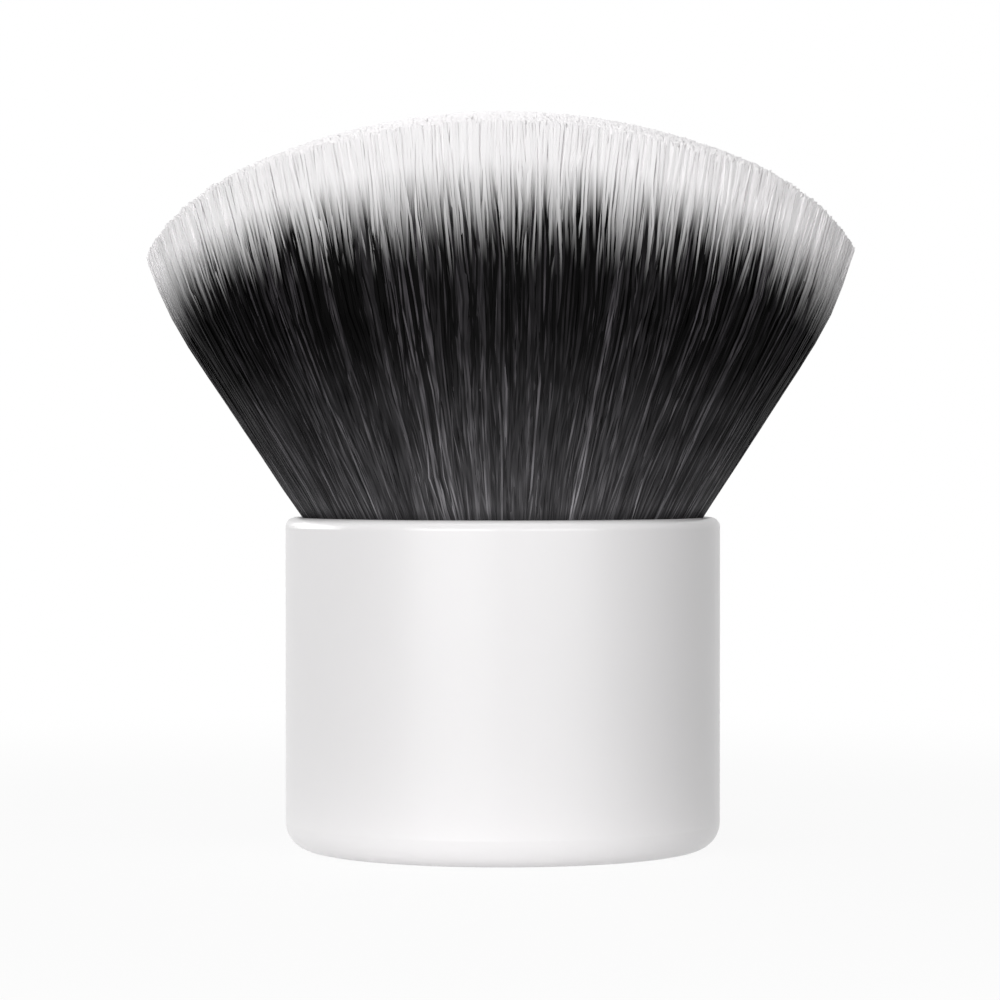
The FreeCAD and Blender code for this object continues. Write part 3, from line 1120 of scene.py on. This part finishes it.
@dataclass
class FibreRoots:
    """The held length of the fibres in the socket, round the spreader plug and inside the binding."""

    sizes: RootSizes = RootSizes()
    plug_gap: float = 0.25 * MM
    thickness_spread: Span = (0.75, 1.1)
    map_reach: float = 0.05

    def inputs(self) -> dict[str, Any]:
        """The tree's inputs.

        Returns:
            Values by the inputs' names.
        """
        low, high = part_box("fibre_roots")
        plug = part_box("spreader_plug")[1]
        return labelled(self.sizes) | {
            "Foot height": low.z,
            "Top height": high.z,
            "Plug half width": plug.x + self.plug_gap,
            "Plug half depth": plug.y + self.plug_gap,
            "Material": TippedFibre().material(),
        }

    def tree(self) -> FibreTree:
        """The tree that grows the roots.

        Returns:
            The finished tree.
        """
        tree = FibreTree("fibre_roots_bundle", self.inputs())
        lines = tree.lines()
        turn = tree.fibre * GOLDEN_ANGLE
        across, deep = turn.cosine(), turn.sine()
        plug_across = (across / tree["Plug half width"]).square()
        plug_deep = (deep / tree["Plug half depth"]).square()
        nearest = 1 / (plug_across + plug_deep)
        climb = tree.step() / (tree["Points"] - 1)
        loosened = climb.rising(tree["Bound share"], 1.0)
        farthest = loosened.between(tree["Bound radius"], tree["Loose radius"]).square()
        share = (tree.fibre + tree.chance(RootDraw.place)) / tree["Fibres"]
        radius = share.between(nearest, farthest).root()
        height = climb.between(tree["Foot height"], tree["Top height"])
        place = tree.vector(radius * across, radius * deep, height)
        thickness = tree["Fibre radius"] * tree.chance(RootDraw.thickness, *self.thickness_spread)
        column = tree.column(tree.chance(RootDraw.tone), tree.chance(RootDraw.white))
        tree.finish(lines, place, thickness, climb * self.map_reach, column)
        return tree

    def build(self) -> None:
        """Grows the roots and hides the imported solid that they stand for."""
        piece = self.tree().grow("fibre_roots_bundle", self.inputs())
        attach(piece, HANDLE_BODY)
        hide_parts("fibre_roots")


@dataclass(frozen=True)
class FloorPaint(Finish):
    """Matt floor: pale to the camera, with the brush's soft shadow, and plain white far away."""

    name: str = "studio_floor"
    colour: Colour = (0.95, 0.95, 0.95)
    bounce_near: Colour = (0.75, 0.75, 0.75)
    bounce_far: Colour = (0.15, 0.15, 0.15)
    bounce_fade: Span = (21.0 * MM, 34.0 * MM)
    near_white: float = 0.915
    shaded_to: float = 60.0 * MM
    white_from: float = 200.0 * MM
    grain_scale: float = 60.0
    grain: Span = (0.98, 1.0)
    roughness: float = 0.9
    specular: float = 0.1

    def paint(self, surface: Surface) -> None:
        """Mixes the lit floor with plain white by the distance from the brush.

        Args:
            surface: The material's tree.
        """
        place = surface.place()
        x, y, _ = surface.parts(place)
        distance = (x.square() + y.square()).root()
        far = distance.rising(self.shaded_to, self.white_from)
        seen = surface.seen()
        white = surface.add("ShaderNodeEmission", sockets={"Color": WHITE, "Strength": 1.0})
        share = far.between(self.near_white, 1.0) * seen
        sockets = {0: share, 1: surface.shader.outputs["BSDF"], 2: white.outputs["Emission"]}
        both = surface.add("ShaderNodeMixShader", sockets=sockets)
        surface.feed(surface.output.inputs["Surface"], both.outputs["Shader"])
        bounce = surface.mixed(distance.rising(*self.bounce_fade), self.bounce_near, self.bounce_far)
        colour = surface.mixed(seen, bounce, self.colour)
        grain = surface.noise(place, self.grain_scale).between(*self.grain)
        surface.give(
            Base_Color=surface.scaled(colour, grain),
            Roughness=self.roughness,
            Specular_IOR_Level=self.specular,
        )


@dataclass(frozen=True)
class Lamp:
    """A soft wide lamp: its bearing from the front, its height as an angle, and how bright it makes white.

    A level of 1 makes a white surface that faces the lamp render as white. Left bearings are negative.
    """

    bearing: float
    height: float
    level: float
    distance: float = 0.95
    width: float = 0.8
    tall: float = 0.3

    def place(self, aim: Vector) -> Vector:
        """Where the lamp hangs.

        Args:
            aim: The point that the lamp is turned to.

        Returns:
            The lamp's place.
        """
        bearing, height = math.radians(self.bearing), math.radians(self.height)
        flat = math.cos(height)
        return aim + self.distance * Vector(
            (math.sin(bearing) * flat, -math.cos(bearing) * flat, math.sin(height))
        )

    def power(self) -> float:
        """Watts that give the level at the lamp's distance."""
        return self.level * math.pi**2 * self.distance**2


class StudioLamp(Enum):
    """The studio's lamps."""

    key = Lamp(bearing=-26.0, height=9.0, level=0.57)
    fill = Lamp(bearing=27.0, height=9.0, level=0.35)
    back_left = Lamp(bearing=-122.0, height=14.0, level=0.35)
    top = Lamp(bearing=0.0, height=78.0, level=0.14)


@dataclass
class Studio:
    """White floor, soft lamps, pale surroundings and the camera at the photograph's angle."""

    floor_half: float = 3.0
    surround: float = 0.23
    diffuse_bounces: int = 12
    aim_height: float = 35.0 * MM
    distance: float = 365.0 * MM
    eye_height: float = 36.4 * MM
    sensor_width: float = 36.0
    clip: Span = (0.01, 20.0)
    frame_pixels: float = 1000.0
    focal_pixels: float = 3960.0
    horizon_row: float = 453.0
    axis_column: float = 502.8

    def lay_floor(self) -> None:
        """Lays the floor under the brush."""
        half = self.floor_half
        corners = [(-half, -half, 0.0), (half, -half, 0.0), (half, half, 0.0), (-half, half, 0.0)]
        mesh = bpy.data.meshes.new("studio_floor")
        mesh.from_pydata(corners, [], [(0, 1, 2, 3)])
        mesh.materials.append(FloorPaint().material())
        floor = bpy.data.objects.new("studio_floor", mesh)
        bpy.context.scene.collection.objects.link(floor)

    def hang_lamps(self) -> None:
        """Hangs the lamps, each turned towards the brush."""
        aim = Vector((0.0, 0.0, self.aim_height))
        for lamp in StudioLamp:
            light = bpy.data.lights.new(lamp.name, "AREA")
            light.shape = "RECTANGLE"
            light.size = lamp.value.width
            light.size_y = lamp.value.tall
            light.energy = lamp.value.power()
            hung = bpy.data.objects.new(lamp.name, light)
            hung.location = lamp.value.place(aim)
            hung.rotation_euler = (aim - hung.location).to_track_quat("-Z", "Y").to_euler()
            bpy.context.scene.collection.objects.link(hung)

    def surround_with_white(self) -> None:
        """Makes the surroundings a soft fill that the camera and reflections see as white."""
        world = bpy.data.worlds.new("studio_surround")
        world.use_nodes = True
        world.node_tree.nodes.clear()
        wiring = Wiring(world.node_tree)
        sockets = {"Color": WHITE, "Strength": wiring.seen().between(self.surround, 1.0)}
        sky = wiring.add("ShaderNodeBackground", sockets=sockets)
        wiring.add("ShaderNodeOutputWorld", sockets={"Surface": sky.outputs["Background"]})
        bpy.context.scene.world = world

    def set_camera(self) -> None:
        """Stands the camera where the photograph was taken from."""
        data = bpy.data.cameras.new("photo_camera")
        data.sensor_width = self.sensor_width
        data.lens = self.sensor_width * self.focal_pixels / self.frame_pixels
        data.clip_start, data.clip_end = self.clip
        middle = self.frame_pixels / 2
        pitch = math.atan((middle - self.horizon_row) / self.focal_pixels)
        aside = (self.axis_column - middle) * self.distance / self.focal_pixels
        camera = bpy.data.objects.new("photo_camera", data)
        camera.location = (-aside, -self.distance, self.eye_height)
        camera.rotation_euler = (math.pi / 2 - pitch, 0.0, 0.0)
        scene = bpy.context.scene
        scene.collection.objects.link(camera)
        scene.camera = camera
        scene.view_settings.view_transform = "Standard"
        scene.cycles.diffuse_bounces = self.diffuse_bounces

    def build(self) -> None:
        """Sets up the whole studio."""
        self.lay_floor()
        self.hang_lamps()
        self.surround_with_white()
        self.set_camera()


def main() -> None:
    """Builds the brush and its studio in order."""
    logging.basicConfig(level=logging.INFO, format="%(name)s: %(message)s")
    Handle().dress()
    FibreRoots().build()
    FibreHead().build()
    Studio().build()


if __name__ == "__main__":
    main()
